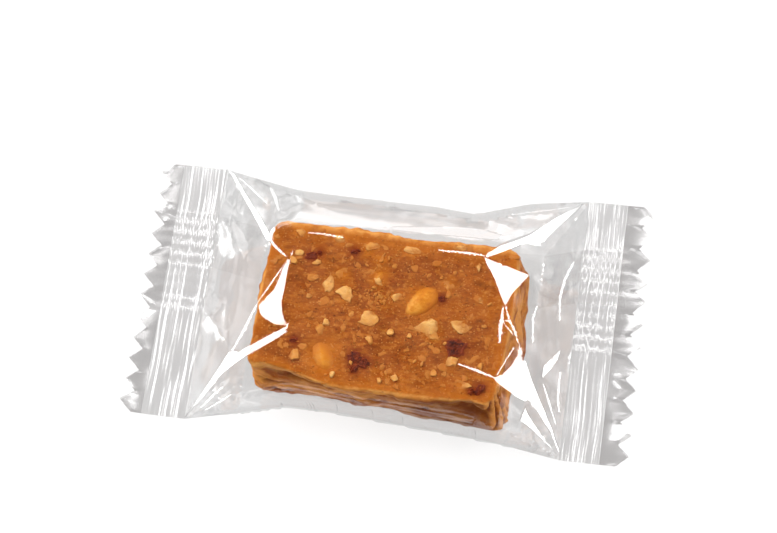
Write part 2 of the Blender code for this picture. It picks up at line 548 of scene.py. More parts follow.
# %% Facets at the left end
left_facets = [
    ("crescent", "left", [
        (-17.0, 5.6), (-17.7, 2.5), (-18.3, 0.0), (-19.5, -1.4), (-20.6, -2.8), (-19.9, -4.3),
        (-18.9, -5.1), (-17.2, -5.9), (-15.7, -6.0), (-14.9, -6.3), (-15.7, -4.9), (-16.2, -3.9),
        (-16.7, -1.8), (-16.6, 0.1), (-16.6, 3.2), (-16.4, 5.3)]),
    ("line_tip", "left", ribbon([(-16.1, 6.9), (-16.5, 5.2)], 0.3)),
    ("back_ribbon", "left", [
        (-31.0, 21.9), (-29.7, 20.5), (-26.8, 16.5), (-23.7, 12.4), (-21.3, 8.9), (-20.5, 8.4),
        (-20.4, 9.3), (-22.8, 12.5), (-25.6, 15.9), (-29.5, 20.9)]),
    ("line_tail", "left", ribbon([(-20.5, 8.9), (-19.5, 7.6), (-17.1, 5.8)], 0.45)),
    ("line_edge", "left", ribbon([(-17.2, 4.9), (-18.8, 1.2), (-20.7, -2.6)], 0.32)),
    ("line_edge_low", "left", ribbon([(-20.7, -2.9), (-22.3, -7.1), (-23.9, -10.6)], 0.36)),
    ("front_band_low", "left", [
        (-31.0, -21.8), (-28.6, -18.4), (-25.9, -13.7), (-24.5, -11.0), (-23.6, -10.7),
        (-22.6, -11.0), (-21.9, -12.1), (-23.2, -12.9), (-25.2, -14.6), (-28.3, -18.8)]),
    ("front_band_high", "left", [
        (-22.6, -11.0), (-21.0, -9.7), (-19.3, -8.7), (-17.1, -7.4), (-15.8, -6.6), (-15.3, -6.3),
        (-14.8, -5.5), (-14.8, -6.4), (-14.9, -7.1), (-16.6, -8.4), (-19.1, -10.2), (-21.9, -12.1)]),
    ("soft_gap_patch", "left", [
        (-28.8, 13.1), (-27.8, 9.9), (-25.5, 6.4), (-24.4, 5.2), (-24.1, 6.3), (-24.7, 8.6),
        (-26.4, 11.1), (-27.8, 12.6)]),
    ("soft_gap_patch_low", "left", [
        (-29.0, -4.3), (-26.3, -3.8), (-25.7, -7.0), (-24.6, -10.2), (-26.4, -8.1), (-27.8, -6.1)]),
    ("soft_top_patch", "left", [(-19.8, 17.6), (-17.6, 17.6), (-16.9, 16.1), (-19.2, 13.6)]),
    ("line_second", "left", ribbon([(-28.4, 20.4), (-25.7, 18.3), (-22.6, 15.7)], 0.2)),
    ("soft_plain", None, [
        (-28.6, 20.6), (-22.2, 12.4), (-21.2, 12.6), (-21.8, 15.6), (-25.4, 19.8)]),
    ("line_ridge", "left", ribbon([(-14.0, 10.3), (-11.2, 10.2), (-8.0, 9.9)], 0.22)),
    ("soft_wedge", "card", [
        (-17.6, 17.2), (-11.6, 15.2), (-4.8, 12.4), (-9.1, 12.6), (-14.4, 14.6)]),
    ("line_fan", "left", ribbon([(-28.3, -20.2), (-26.6, -18.5), (-24.6, -16.7)], 0.28)),
    ("line_fan_low", "left", ribbon([(-27.6, -20.4), (-24.2, -18.7), (-22.9, -17.9)], 0.2)),
    ("line_streak", "card", ribbon([(-22.8, 19.0), (-21.4, 17.0), (-20.0, 14.2)], 0.7)),
]
print("left facets:", len(left_facets))

# %% Facets at the right end
right_facets = [
    ("triangle", "back", [
        (15.8, 8.6), (17.3, 8.2), (23.2, 6.8), (22.0, 5.0), (20.9, 3.2), (20.1, 1.0), (19.4, 2.2),
        (18.9, 3.2), (17.6, 5.8), (16.4, 7.3)]),
    ("back_ribbon", "back", [
        (30.2, 21.3), (26.2, 17.8), (22.4, 13.9), (18.0, 11.2), (15.9, 9.3), (16.1, 8.8),
        (17.4, 9.5), (21.0, 11.7), (22.1, 12.3), (24.2, 12.3), (26.2, 15.5), (28.9, 19.2)]),
    ("lens", "card", [
        (-1.6, 12.3), (0.5, 12.6), (8.2, 13.5), (14.6, 13.7), (18.2, 12.9), (17.4, 12.0),
        (11.4, 12.0), (2.8, 12.0)]),
    ("line_sill", "card", ribbon([(19.0, 17.4), (23.2, 19.0), (28.0, 20.5)], 0.3)),
    ("line_back", "back", ribbon([(8.1, 9.2), (13.3, 9.2), (15.8, 9.0)], 0.34)),
    ("line_needle", "back", ribbon([(19.8, 0.7), (19.85, -1.6), (19.8, -3.6), (20.0, -5.3)], 0.5)),
    ("line_right", "back", ribbon([(20.2, 0.8), (21.0, -1.3), (22.0, -2.8), (22.9, -4.8)], 0.3)),
    ("line_middle", "back", ribbon([(20.4, -2.1), (21.9, -3.6)], 0.24)),
    ("wide", "side", [
        (23.0, -4.8), (22.9, -6.8), (22.1, -8.7), (21.0, -10.3), (19.8, -11.1), (20.0, -11.5),
        (22.0, -12.6), (24.1, -13.6), (25.7, -14.0), (26.9, -14.8), (28.3, -16.6), (29.2, -17.6),
        (28.3, -15.1), (27.1, -13.1), (25.6, -10.3), (24.3, -7.5)]),
    ("line_wide", "side", ribbon([(27.6, -14.4), (29.2, -17.1), (31.0, -20.7)], 0.35)),
    ("line_loop", "side", ribbon([(20.2, -10.6), (22.3, -5.6)], 0.3)),
    ("line_front", "side", ribbon([(13.9, -9.6), (16.9, -10.3), (19.8, -11.1)], 0.4)),
    ("second", "side", [
        (25.1, -14.8), (24.6, -17.0), (26.5, -18.0), (28.7, -19.6), (30.8, -21.2), (29.5, -20.0),
        (27.8, -18.4), (25.8, -16.1)]),
    ("line_curve", "side", ribbon([(29.8, 11.1), (28.7, 7.8), (28.3, 4.7), (28.6, 0.8)], 0.24)),
    ("soft_drop", "side", [(23.9, 6.7), (25.9, 7.2), (25.3, 4.3)]),
    ("line_gap", "side", ribbon([(25.0, -4.1), (24.6, 0.1), (25.0, 2.2)], 0.2)),
    ("patch", "side", [(29.4, -4.2), (27.1, -7.4), (27.1, -9.3), (28.2, -7.6), (29.1, -5.8)]),
    ("line_foot", "side", ribbon([(29.8, -7.6), (29.8, -11.8), (30.3, -14.2)], 0.35)),
    ("line_fold", "side", ribbon([(27.4, -10.4), (28.6, -13.1), (30.0, -16.4)], 0.24)),
    ("soft_plain", None, [(20.5, -12.4), (22.2, -13.2), (22.8, -15.6), (20.4, -14.6)]),
]
facets = [(name, box, np.array(outline)) for name, box, outline in left_facets + right_facets]
print("facets:", len(facets))

# %% [markdown]
# ### Small folds
# Between the facets the film is never quite smooth: soft dents cover it, fine creases gather
# towards the seals, and a few small folds run down its sides. They mirror only the dim room, so
# they need no exact slope. Smooth noise gives the dents and creases, and each fold is a tent
# along a line: highest on its crest, and gone a little way off.

# %% Folds
# Each small fold is a line, how high its crest stands, and how far its sides reach.
upper_folds = [
    ([(-31.0, 17.5), (-26.5, 13.0)], 0.25, 1.0),
    ([(-30.9, 1.0), (-26.0, -3.5)], 0.22, 1.0),
    ([(-13.5, 17.6), (3.6, 16.6), (14.6, 15.8)], 0.4, 0.8),
    ([(14.6, 15.8), (27.0, 19.2)], 0.35, 0.8),
    ([(14.6, 15.8), (20.5, 14.6)], 0.3, 0.7),
    ([(-30.5, -21.7), (-22.0, -16.5)], 0.35, 0.8),
    ([(-23.0, -19.0), (-14.4, -17.2)], 0.4, 0.8),
    ([(-14.4, -17.4), (2.0, -17.6)], 0.3, 0.9),
    ([(17.5, -18.0), (21.5, -19.6)], 0.5, 0.9),
    ([(21.0, -18.6), (30.0, -21.6)], 0.35, 0.7),
]
lower_folds = [
    ([(-30.6, 14.0), (-28.6, 10.5), (-25.6, 7.0)], 0.9, 2.2),
    ([(-30.8, -3.0), (-26.0, -8.5)], 0.4, 1.4),
    ([(30.8, -4.0), (26.4, -8.0)], 0.4, 1.2),
    ([(30.8, 8.0), (25.4, 3.0)], 0.4, 1.2),
]
# Across each end of the bar the upper film bends down along a straight crease.
end_creases = [[(-20.9, -19.2), (-20.9, 19.4)], [(21.3, -19.6), (21.3, 20.0)]]
print("folds:", len(upper_folds + lower_folds + end_creases))

# %% How far folds and dents lift the film


def fold(plan, corners, height, reach):
    """How much a tent-shaped fold lifts each point: most on its crest, little past its ends."""
    lift = np.zeros(len(plan))
    corners = np.array(corners)
    lengths = np.linalg.norm(np.diff(corners, axis=0), axis=1)
    ends = np.concatenate([[0], np.cumsum(lengths)]) / lengths.sum()
    for k, (start, end) in enumerate(zip(corners, corners[1:])):
        way = (end - start) / lengths[k]
        along = np.clip((plan - start) @ way, 0, lengths[k])
        away = np.linalg.norm(plan - start - along[:, None] * way, axis=1)
        share = ends[k] + (ends[k + 1] - ends[k]) * along / lengths[k]
        taper = np.minimum(1, 5 * np.minimum(share, 1 - share) + 0.15)
        lift = np.maximum(lift, height * taper * np.exp(-away / reach))
    return lift


def ripple(plan, size, depth, seed):
    """Gentle unevenness with dents of about the given size."""
    return np.array([depth * wobble(x / size, y / size, seed) for x, y in plan])


def small_lifts(plan, folds):
    """Dents all over, fine creases that run into the seals, and the folds."""
    lifts = ripple(plan, 4.0, 0.10, 3.0) + ripple(plan, 1.6, 0.02, 8.0)
    lifts += smoothstep(abs(plan[:, 0]), 22.5, 27) * ripple(plan * (1, 0.14), 1.1, 0.10, 15.0)
    for line, rise, reach in folds:
        lifts += fold(plan, line, rise, reach)
    return lifts

# %% [markdown]
# ### Fit the film to its facets
# Blender's constrained Delaunay triangulation makes a net that keeps every facet's outline as
# edges. Then the heights are found by least squares: inside a facet the net must have the
# facet's slope, and elsewhere it should keep the pillow's slope. The seals and the widest lines
# stay put. Conjugate gradients solve this with array sums, so no solver library is needed.

# %% Points of the net
outline_step = 0.4
fill_step = line_step * 0.95
fill_jitter = 0.1
row_share = 0.866


def walk(corners, step):
    """Points about a step apart along a line of corners, both ends included."""
    corners = [np.array(c, float) for c in corners]
    points = [corners[0]]
    for start, end in zip(corners, corners[1:]):
        count = max(1, int(round(np.linalg.norm(end - start) / step)))
        points += [start + (end - start) * (i + 1) / count for i in range(count)]
    return points


def fill_points(held):
    """Rows of loose points, a triangle's height apart, that keep off the points already held."""
    low, high = held.min(0), held.max(0)
    rows = np.arange(low[1], high[1], fill_step * row_share)
    columns = np.arange(low[0], high[0], fill_step)
    fill = np.array([(x + (k % 2) * fill_step / 2, y) for k, y in enumerate(rows) for x in columns])
    fill += chance.uniform(-fill_jitter, fill_jitter, fill.shape) * fill_step
    near = KDTree(len(held))
    for k, point in enumerate(held):
        near.insert((*point, 0), k)
    near.balance()
    return np.array([p for p in fill if near.find((*p, 0))[2] > 0.5 * fill_step])

# %% Net of triangles


def film_net(outlines, creases):
    """Plan points and triangles between the widest lines and the seals, with set edges."""
    chains, sides = [], []

    def hold(points, closed):
        first, count = len(chains), len(points)
        last = count if closed else count - 1
        sides.extend((first + i, first + (i + 1) % count) for i in range(last))
        chains.extend(points)

    left, right = (walk([(s * seal_start, -half_flat), (s * seal_start, half_flat)], line_step)[1:-1]
                   for s in (-1, 1))
    hold([*front_rim[:, :2], *right, *back_rim[::-1, :2], *left[::-1]], True)
    edge = len(chains)
    for outline in outlines:
        hold(walk([*outline, outline[0]], outline_step)[:-1], True)
    for crease in creases:
        hold(walk(crease, outline_step), False)
    held = np.array(chains)
    flat = [Vector(p) for p in np.vstack([held, fill_points(held)]).tolist()]
    points, _, faces, origins, _, _ = delaunay_2d_cdt(flat, sides, [list(range(edge))], 1, 1e-4)
    on_edge = np.array([any(k < edge for k in origin) for origin in origins])
    return np.array([tuple(p) for p in points]), np.array([f for f in faces if len(f) == 3]), on_edge

# %% Heights from slopes


def fit_slopes(plan, faces, start, fixed, slopes, weights, rounds=1500):
    """Heights whose slope in each triangle comes near to a wanted slope, by conjugate gradients."""
    a, b, c = (plan[faces[:, k]] for k in range(3))
    area = (b[:, 0] - a[:, 0]) * (c[:, 1] - a[:, 1]) - (b[:, 1] - a[:, 1]) * (c[:, 0] - a[:, 0])
    area = np.where(abs(area) < 1e-7, 1e-7, area)
    gx = np.stack([b[:, 1] - c[:, 1], c[:, 1] - a[:, 1], a[:, 1] - b[:, 1]], 1) / area[:, None]
    gy = np.stack([c[:, 0] - b[:, 0], a[:, 0] - c[:, 0], b[:, 0] - a[:, 0]], 1) / area[:, None]
    pull = (abs(area) * weights)[:, None]

    def gather(corner_values):
        return np.bincount(faces.ravel(), (pull * corner_values).ravel(), len(plan))

    def push(sx, sy):
        return np.where(fixed, 0, gather(gx * sx[:, None] + gy * sy[:, None]))

    def press(height):
        known = height[faces]
        return push((gx * known).sum(1), (gy * known).sum(1))

    scale = np.maximum(gather(gx**2 + gy**2), 1e-9)
    height = start.copy()
    rest = push(slopes[:, 0], slopes[:, 1]) - press(height)
    way = rest / scale
    level = (rest * way).sum()
    for _ in range(rounds):
        pressed = press(way)
        step = level / max((way * pressed).sum(), 1e-12)
        height = height + step * way
        rest = rest - step * pressed
        better = (rest * rest / scale).sum()
        way = rest / scale + (better / level) * way
        level = better
        if level < 1e-9:
            break
    return height

# %% [markdown]
# The facets push the film down in places, and there it must not go through the candy. So we also
# need the lowest height that the film may have: the bar's top with its round edges, and for the
# lower half the table. Points that would sink below it are set down on it, and the fit is run
# again with these held.

# %% Room for the bar
round_edge = 1.2
bar_clearance = 0.05
table_clearance = 0.06


def bar_frame(plan):
    """Points of the wrap as the bar sees them: along it and across it from its middle."""
    x, y = plan[..., 0], plan[..., 1] - bar_shift
    along = x * math.cos(bar_turn) + y * math.sin(bar_turn)
    across = y * math.cos(bar_turn) - x * math.sin(bar_turn)
    return along, across


def above_bar(plan):
    """The lowest that the upper film can lie: on the bar, whose edges are round."""
    along, across = bar_frame(plan)
    inset = np.minimum(bar_length / 2 - abs(along), bar_width / 2 - abs(across))
    past = round_edge - np.clip(inset, 0, round_edge)
    drop = round_edge - np.sqrt(np.clip(round_edge**2 - past**2, 0, None))
    return np.where(inset > 0, bar_height - bar_clearance - drop, 0)


def on_table(plan):
    """The lowest that the lower film can lie."""
    return np.full(len(plan), table_clearance)

# %% Slopes to reach


def net_slopes(plan, faces, height):
    """The middle of each triangle, and its slope along and across the wrap."""
    corners, known = plan[faces], height[faces]
    one, two = corners[:, 1] - corners[:, 0], corners[:, 2] - corners[:, 0]
    cross = one[:, 0] * two[:, 1] - one[:, 1] * two[:, 0]
    cross = np.where(abs(cross) < 1e-7, 1e-7, cross)
    up, over = known[:, 1] - known[:, 0], known[:, 2] - known[:, 0]
    slopes = np.stack([up * two[:, 1] - over * one[:, 1], over * one[:, 0] - up * two[:, 0]], 1)
    return corners.mean(1), slopes / cross[:, None]


def inside(points, outline):
    """Which points lie inside a closed outline: count the sides that a ray to the right meets."""
    hits = np.zeros(len(points), int)
    for (ax, ay), (bx, by) in zip(outline, np.roll(outline, -1, axis=0)):
        if ay == by:
            continue
        spans = (points[:, 1] > min(ay, by)) & (points[:, 1] <= max(ay, by))
        meet = ax + (points[:, 1] - ay) * (bx - ax) / (by - ay)
        hits += spans & (meet > points[:, 0])
    return hits % 2 == 1


def press_in(middles, slopes, marks, pleats):
    """Turn the slopes inside each mark to its box, and return how hard each triangle pulls."""
    weights = np.ones(len(middles))
    taken = np.zeros(len(middles), bool)
    for name, box, outline in marks:
        mine = inside(middles, outline) & ~taken
        if box and mine.any():
            slopes[mine] = slope_to(box, outline, slopes[mine].mean(0), mark_spread[kind_of(name)])
        weights[mine] = mark_pull[kind_of(name)]
        taken |= mine
    for pleat in pleats:
        weights[inside(middles, pleat) & ~taken] = pleat_pull
    return weights

# %% Build the sleeve
# How often the fit is run, and from which angle on an edge of the mesh is drawn sharp.
landings = 3
sharp_fold = math.radians(11)
# How round the front side and the back side of each half are, as pillow takes it.
upper_bows = (2.9, 0, 11), (1.5, 3, 16)
lower_bows = (2.6, 0, 11), (2.2, 0, 11)


def half_sleeve(ridges, bows, folds, marks, creases, lowest):
    """One half of the sleeve: the net, its pillow height, and the facets pressed into it."""
    pieces = [(name, box, piece) for name, box, outline in marks
              for piece in (short_pieces(outline) if kind_of(name) == "line" else [outline])]
    edges = [piece for name, _, piece in pieces if kind_of(name) != "soft"]
    pleats = [widened(outline, pleat_width) for name, _, outline in marks if kind_of(name) != "soft"]
    plan, faces, fixed = film_net(edges + pleats, creases)
    height = pillow(plan, *ridges, *bows)
    height = np.where(fixed, height, height + small_lifts(plan, folds))
    floor = lowest(plan)
    if marks:
        middles, slopes = net_slopes(plan, faces, height)
        weights = press_in(middles, slopes, pieces, pleats)
        held = fixed.copy()
        for _ in range(landings):
            height = fit_slopes(plan, faces, height, held, slopes, weights)
            sunk = (height < floor) & ~held
            height, held = np.maximum(height, floor), held | sunk
            print("facets pressed in; points resting on the bar:", int(sunk.sum()))
    height = np.where(fixed, height, np.maximum(height, floor))
    return np.column_stack([plan, height]), faces


def sleeve():
    """Both halves. They meet at the widest lines, where make_piece merges their points."""
    upper, upper_faces = half_sleeve((upper_front, upper_back), upper_bows, upper_folds, facets,
                                     end_creases, above_bar)
    lower, lower_faces = half_sleeve((lower_front, lower_back), lower_bows, lower_folds, [], [],
                                     on_table)
    return np.vstack([upper, lower]), upper_faces.tolist() + (lower_faces + len(upper)).tolist()


sleeve_points, sleeve_faces = sleeve()
film_sleeve = make_piece("film_sleeve", sleeve_points, sleeve_faces, film, merge=0.02)
film_sleeve.data.set_sharp_from_angle(angle=sharp_fold)
print("sleeve:", len(film_sleeve.data.vertices), "points")

# %% [markdown]
# ## Crimped ends
# The jaws of the machine press the tube flat in a band of fine ridges that run across it. The
# band isn't perfect: some threads come out deeper, rows of dots show where more layers of film
# lie, as at the fin, and the whole end is a little bent. A bump texture would do from far away.
# But film shows its shape by what it mirrors, so the ridges are real mesh: a fine grid whose
# height is a sum of waves and stretched noise.

# %% Pattern of the jaws
ridge_pitch = {-1: 0.92, 1: 0.76}
row_pitch = 1.9
crimp_cell = 0.08
# How deep each end is pressed, and how far it hangs up or down for each millimetre outwards.
relief = {-1: 1.2, 1: 1.4}
tilt = {-1: 0.07, 1: -0.02}
# How strongly dotted rows show across each crimp: (place across the wrap, strength).
dotted = {
    -1: [(-4.2, 0), (-3.4, 1), (-1.8, 1), (-0.8, 0.3), (3.6, 0.35), (4.6, 1), (13.0, 1), (14.2, 0)],
    1: [(-4.2, 0), (-3.4, 1), (0.4, 0.8), (1.5, 0.4), (8.0, 0.4), (9.0, 0.9), (13.6, 0.9), (14.4, 0)],
}


def pressed(side, d, y):
    """Height of the jaw's pattern at a distance d into the crimp: ridges, threads and dotted rows.

    Each thread is noise that is narrow across the ridges and long along them.
    """
    place = d + 0.35 * wobble(y / 10, side * 7.0, 0.5)
    thread = wobble(place / 0.36, y / 13, side * 3.0 + 0.4)
    cord = wobble(place / 0.85, y / 17, side * 5.0 + 0.7)
    fine = wobble(place / 0.19, y / 9, side * 4.0 + 0.2)
    strength = 0.7 + wobble(place / 2, y / 9, side)
    ridges = strength * math.sin(2 * math.pi * place / ridge_pitch[side])
    front = max(0.0, -y / half_flat)
    height = 0.026 * thread + 0.014 * fine + (0.020 + 0.07 * front) * cord + 0.032 * ridges
    dots = np.interp(y, *zip(*dotted[side]))
    if dots > 0:
        row = math.sin(2 * math.pi * (y + 0.25 * wobble(d, y / 3, side)) / row_pitch)
        dash = math.sin(4 * math.pi * place / ridge_pitch[side])
        height += dots * (0.045 * row + 0.014 * dash * (1 + row))
    height += 0.16 * wobble(y / 4.5, d / 3.0, 11 + side)
    return height * relief[side] * min(1.0, d / 0.4) + tilt[side] * d


def crimp(side):
    """One pressed band between the sleeve and the cut end."""
    across = np.linspace(-half_flat, half_flat, 251)
    along = np.arange(0, crimp_width[side] + crimp_cell / 2, crimp_cell)
    points = [(side * (seal_start + d), y, seal_height + pressed(side, d, y))
              for y in across for d in along]
    return points, grid_faces(len(across), len(along), flip=side > 0)

# %% [markdown]
# ### Cut ends
# Beyond the band a toothed knife cuts the film. There the two plies part, and each tooth is bent
# and creased in its own way. Cutting a zigzag from a plain strip would leave ragged faces. We
# let the grid's outer edge follow the zigzag instead, and squeeze the rows of points to fit.

# %% Teeth
points_per_tooth = 14
fringe_rows = 12
bend_depth, crease_depth, twist_depth = 0.2, 0.4, 0.3
ply_gap = 0.12
sharp_tooth = math.radians(14)


def fringe(side, ply):
    """One ply of the cut end: teeth in a zigzag, each creased and bent in its own way."""
    start = seal_start + crimp_width[side]
    longest = half_length - start
    low = tilt[side] * crimp_width[side]
    pitch = flat_width / teeth
    bends, creases, twists = (depth * relief[side] * chance.uniform(-1, 1, teeth)
                              for depth in (bend_depth, crease_depth, twist_depth))
    points = []
    for i in range(teeth * points_per_tooth + 1):
        uneven = 0.15 * wobble(i * 0.9, side * 5.0, 1.5)
        y = -half_flat + pitch * i / points_per_tooth
        place = i / points_per_tooth
        tooth = min(int(place), teeth - 1)
        off_middle = place - tooth - 0.5
        tip = abs(off_middle) * 2
        held = min(1.0, 4 * (1 - tip))
        root = pressed(side, crimp_width[side], y) - low
        curl = wobble(y / 6.0, side * 9.0, 2.5)
        for t in np.linspace(0, 1, fringe_rows + 1):
            out = (longest - tooth_depth * tip + uneven) * t
            rise = held * t * (bends[tooth] * out + creases[tooth] * (1 - tip))
            rise += held * t * twists[tooth] * off_middle
            rise += ply * ply_gap * t + 0.5 * t * curl
            rise += root * (1 - t) + low + tilt[side] * out
            points.append((side * (start + out), y, seal_height + rise))
    return points, grid_faces(teeth * points_per_tooth + 1, fringe_rows + 1, flip=side > 0)


ends = []
for side, side_name in ((-1, "left"), (1, "right")):
    ends.append(make_piece(f"{side_name}_crimp", *crimp(side), seal_film))
    for ply, ply_name in ((-1, "lower"), (1, "upper")):
        ends.append(make_piece(f"{side_name}_fringe_{ply_name}", *fringe(side, ply), cut_film))
        ends[-1].data.set_sharp_from_angle(angle=sharp_tooth)
print("ends:", sum(len(piece.data.vertices) for piece in ends), "points")

# %% [markdown]
# ## The fin seal
# The tube is closed along its underside by a flat strip where both edges of the film are welded
# face to face. It is laid over to one side and shows faintly through the clear film. It follows
# whatever lies over it, so we measure that: a ray from below finds the sleeve's underside at
# each point of a flat grid, and the strip hangs just under it.

# %% Fin strip
fin_end_gap = 3.2
knurl_pitch, fin_ridge_pitch = 2.1, 0.92
least_height = 0.015


def fin():
    """A knurled strip under the sleeve and the crimps, where it takes their ridges as well."""
    surface = BVHTree.FromPolygons(sleeve_points.tolist(), sleeve_faces)
    reach = half_length - fin_end_gap
    along = np.linspace(-reach, reach, 301)
    across = np.linspace(fin_front, fin_back, 45)
    points = []
    for x in along:
        for y in across:
            hit = surface.ray_cast(Vector((x, y, -5)), Vector((0, 0, 1)))[0]
            under = hit.z if hit and abs(x) < seal_start - 0.1 else seal_height
            knurl = 0.05 * math.sin(2 * math.pi * (y - fin_front) / knurl_pitch)
            loose = 0.12 * wobble(x / 5, y / 5, 21.0) - 0.2
            if abs(x) > seal_start:
                knurl += 0.06 * math.sin(2 * math.pi * x / fin_ridge_pitch)
            points.append((x, y, max(under + loose + knurl, least_height)))
    return points, grid_faces(len(along), len(across))


fin_strip = make_piece("fin_strip", *fin(), fin_film)
print("fin:", len(fin_strip.data.vertices), "points")

# %% [markdown]
# ## The bar
# The paste is kneaded and folded, then pressed and cut, so its sides show thin layers and its
# top has soft streaks. We start from a box with a fine grid on every face, round its edges by a
# formula, and push each point in or out by smooth noise. A formula is easier to steer than
# sculpting, and it can tell later pieces how high the top is at any place.

# %% Box with a fine grid
top_gap = 0.1
half_bar = (bar_length / 2, bar_width / 2, bar_height / 2 - top_gap)
bar_middle = bar_height / 2
bar_cell = 0.36


def box_grid():
    """Points and faces of a box, with a grid of cells on each side."""
    points, faces = [], []
    counts = [int(round(2 * side / bar_cell)) for side in half_bar]
    for axis in range(3):
        first, second = [k for k in range(3) if k != axis]
        us = np.linspace(-half_bar[first], half_bar[first], counts[first] + 1)
        vs = np.linspace(-half_bar[second], half_bar[second], counts[second] + 1)
        for sign in (-1, 1):
            plate = np.empty((len(us), len(vs), 3))
            plate[..., axis] = sign * half_bar[axis]
            plate[..., first], plate[..., second] = us[:, None], vs[None, :]
            faces += grid_faces(len(us), len(vs), start=sum(len(p) for p in points))
            points.append(plate.reshape(-1, 3))
    return np.vstack(points), faces


print("box, mm:", [round(2 * side, 1) for side in half_bar])

# %% Round its edges
corner_radius, edge_radius = 2.2, 0.75


def round_edges(points):
    """The rounded box, its outward directions, and how far each point lies inside the outline."""
    x, y, z = points.T
    over_x = abs(x) - (half_bar[0] - corner_radius)
    over_y = abs(y) - (half_bar[1] - corner_radius)
    out_x, out_y = np.maximum(over_x, 0), np.maximum(over_y, 0)
    reach = np.maximum(np.hypot(out_x, out_y), 1e-9)
    squeeze = np.where((over_x > 0) & (over_y > 0), np.maximum(out_x, out_y) / reach, 1)
    over_x, over_y = over_x * squeeze, over_y * squeeze
    ways = np.column_stack([np.sign(x) * out_x / reach, np.sign(y) * out_y / reach])
    inset = corner_radius - np.where(reach > 1e-6, reach * squeeze, np.maximum(over_x, over_y))
    plan = np.column_stack([np.sign(x) * (half_bar[0] - corner_radius + over_x),
                            np.sign(y) * (half_bar[1] - corner_radius + over_y)])
    near_side = np.maximum(edge_radius - inset, 0)
    near_top = np.maximum(abs(z) - (half_bar[2] - edge_radius), 0)
    both = (near_side > 0) & (near_top > 0)
    near_edge = np.maximum(np.hypot(near_side, near_top), 1e-9)
    bend = np.where(both, np.maximum(near_side, near_top) / near_edge, 1)
    plan -= ways * (near_side * (1 - bend))[:, None]
    z = np.where(both, np.sign(z) * (half_bar[2] - edge_radius + near_top * bend), z)
    outward = np.column_stack([ways * near_side[:, None], np.sign(z) * near_top])
    outward /= np.maximum(np.linalg.norm(outward, axis=1), 1e-9)[:, None]
    return np.column_stack([plan, z]), outward, inset

# %% Lean of the cut sides
# Where the cut edges run, from the left end to the right, and from the front to the back: the
# top edge wavers more than the foot.
front_top = [(-21, -12.3), (-17.8, -11.7), (-11.3, -12.7), (-6.8, -13.8), (4, -13.6), (14, -13.3),
             (17, -12.9), (20.3, -13.5)]
front_foot = [(-21, -13.7), (-10, -13.8), (2.5, -14.1), (7, -14.6), (13, -14.8), (18.5, -15.1)]
right_top = [(-13, 20.6), (-8, 21.3), (0, 21.6), (8, 21.5), (13, 20.8)]
right_foot = [(-13, 22.0), (-6, 22.6), (0, 23.0), (6, 22.4), (13, 22.0)]
lean_reach = 5.0


def lean_out(points):
    """The front side and the right end slope out towards the foot, along their own lines."""
    x, y, z = points.T
    down = smoothstep(-z / half_bar[2], -0.75, 0.6)
    front = np.interp(x, *zip(*front_top)) * (1 - down) + np.interp(x, *zip(*front_foot)) * down
    right = np.interp(y, *zip(*right_top)) * (1 - down) + np.interp(y, *zip(*right_foot)) * down
    share_y = smoothstep(-y, half_bar[1] - lean_reach, half_bar[1])
    share_x = smoothstep(x, half_bar[0] - lean_reach, half_bar[0])
    leant_x = x + share_x * (right - half_bar[0])
    leant_y = y + share_y * (front + half_bar[1])
    return np.column_stack([leant_x, leant_y, z])

# %% Streaks and lumps of the top


def lumps(x, y, z, sizes, seed=0.0):
    """Smooth noise over many points, stretched to a size along each axis."""
    return np.array([wobble(a / sizes[0], b / sizes[1], c / sizes[2] + seed)
                     for a, b, c in zip(x, y, z)])


def top_relief(x, y):
    """Soft kneaded streaks and lumps of the top, in millimetres."""
    level = np.zeros(len(x))
    height = 0.24 * lumps(x, y, level, (7.0, 2.6, 1.0), 4.0)
    height += 0.13 * lumps(x, y, level, (2.2, 1.3, 1.0), 14.0)
    return height + 0.045 * lumps(x, y, level, (0.9, 0.7, 1.0), 24.0)

# %% [markdown]
# ### Layers of the sides
# Kneading folds the paste over and over, and the knife lays the folds open. Each layer stands
# out by its own amount, with a furrow between two of them that is darkened by painted shade, and
# at the right front corner the folds nest like the leaves of an onion. Thin separate sheets would
# be true to life, but hard to keep closed. One surface that is pushed in and out by layers looks
# the same.

# %% Layers
layer_lines = np.array([-5.4, -3.0, -0.6, 2.6, 5.4])
furrow_width = 0.34
corner_middle, corner_reach = (20.6, -12.2), 2.2
mouth_middle, mouth_length, mouth_height = (17.2, 1.0), 2.5, 1.45
leaf_pitch = 5.2


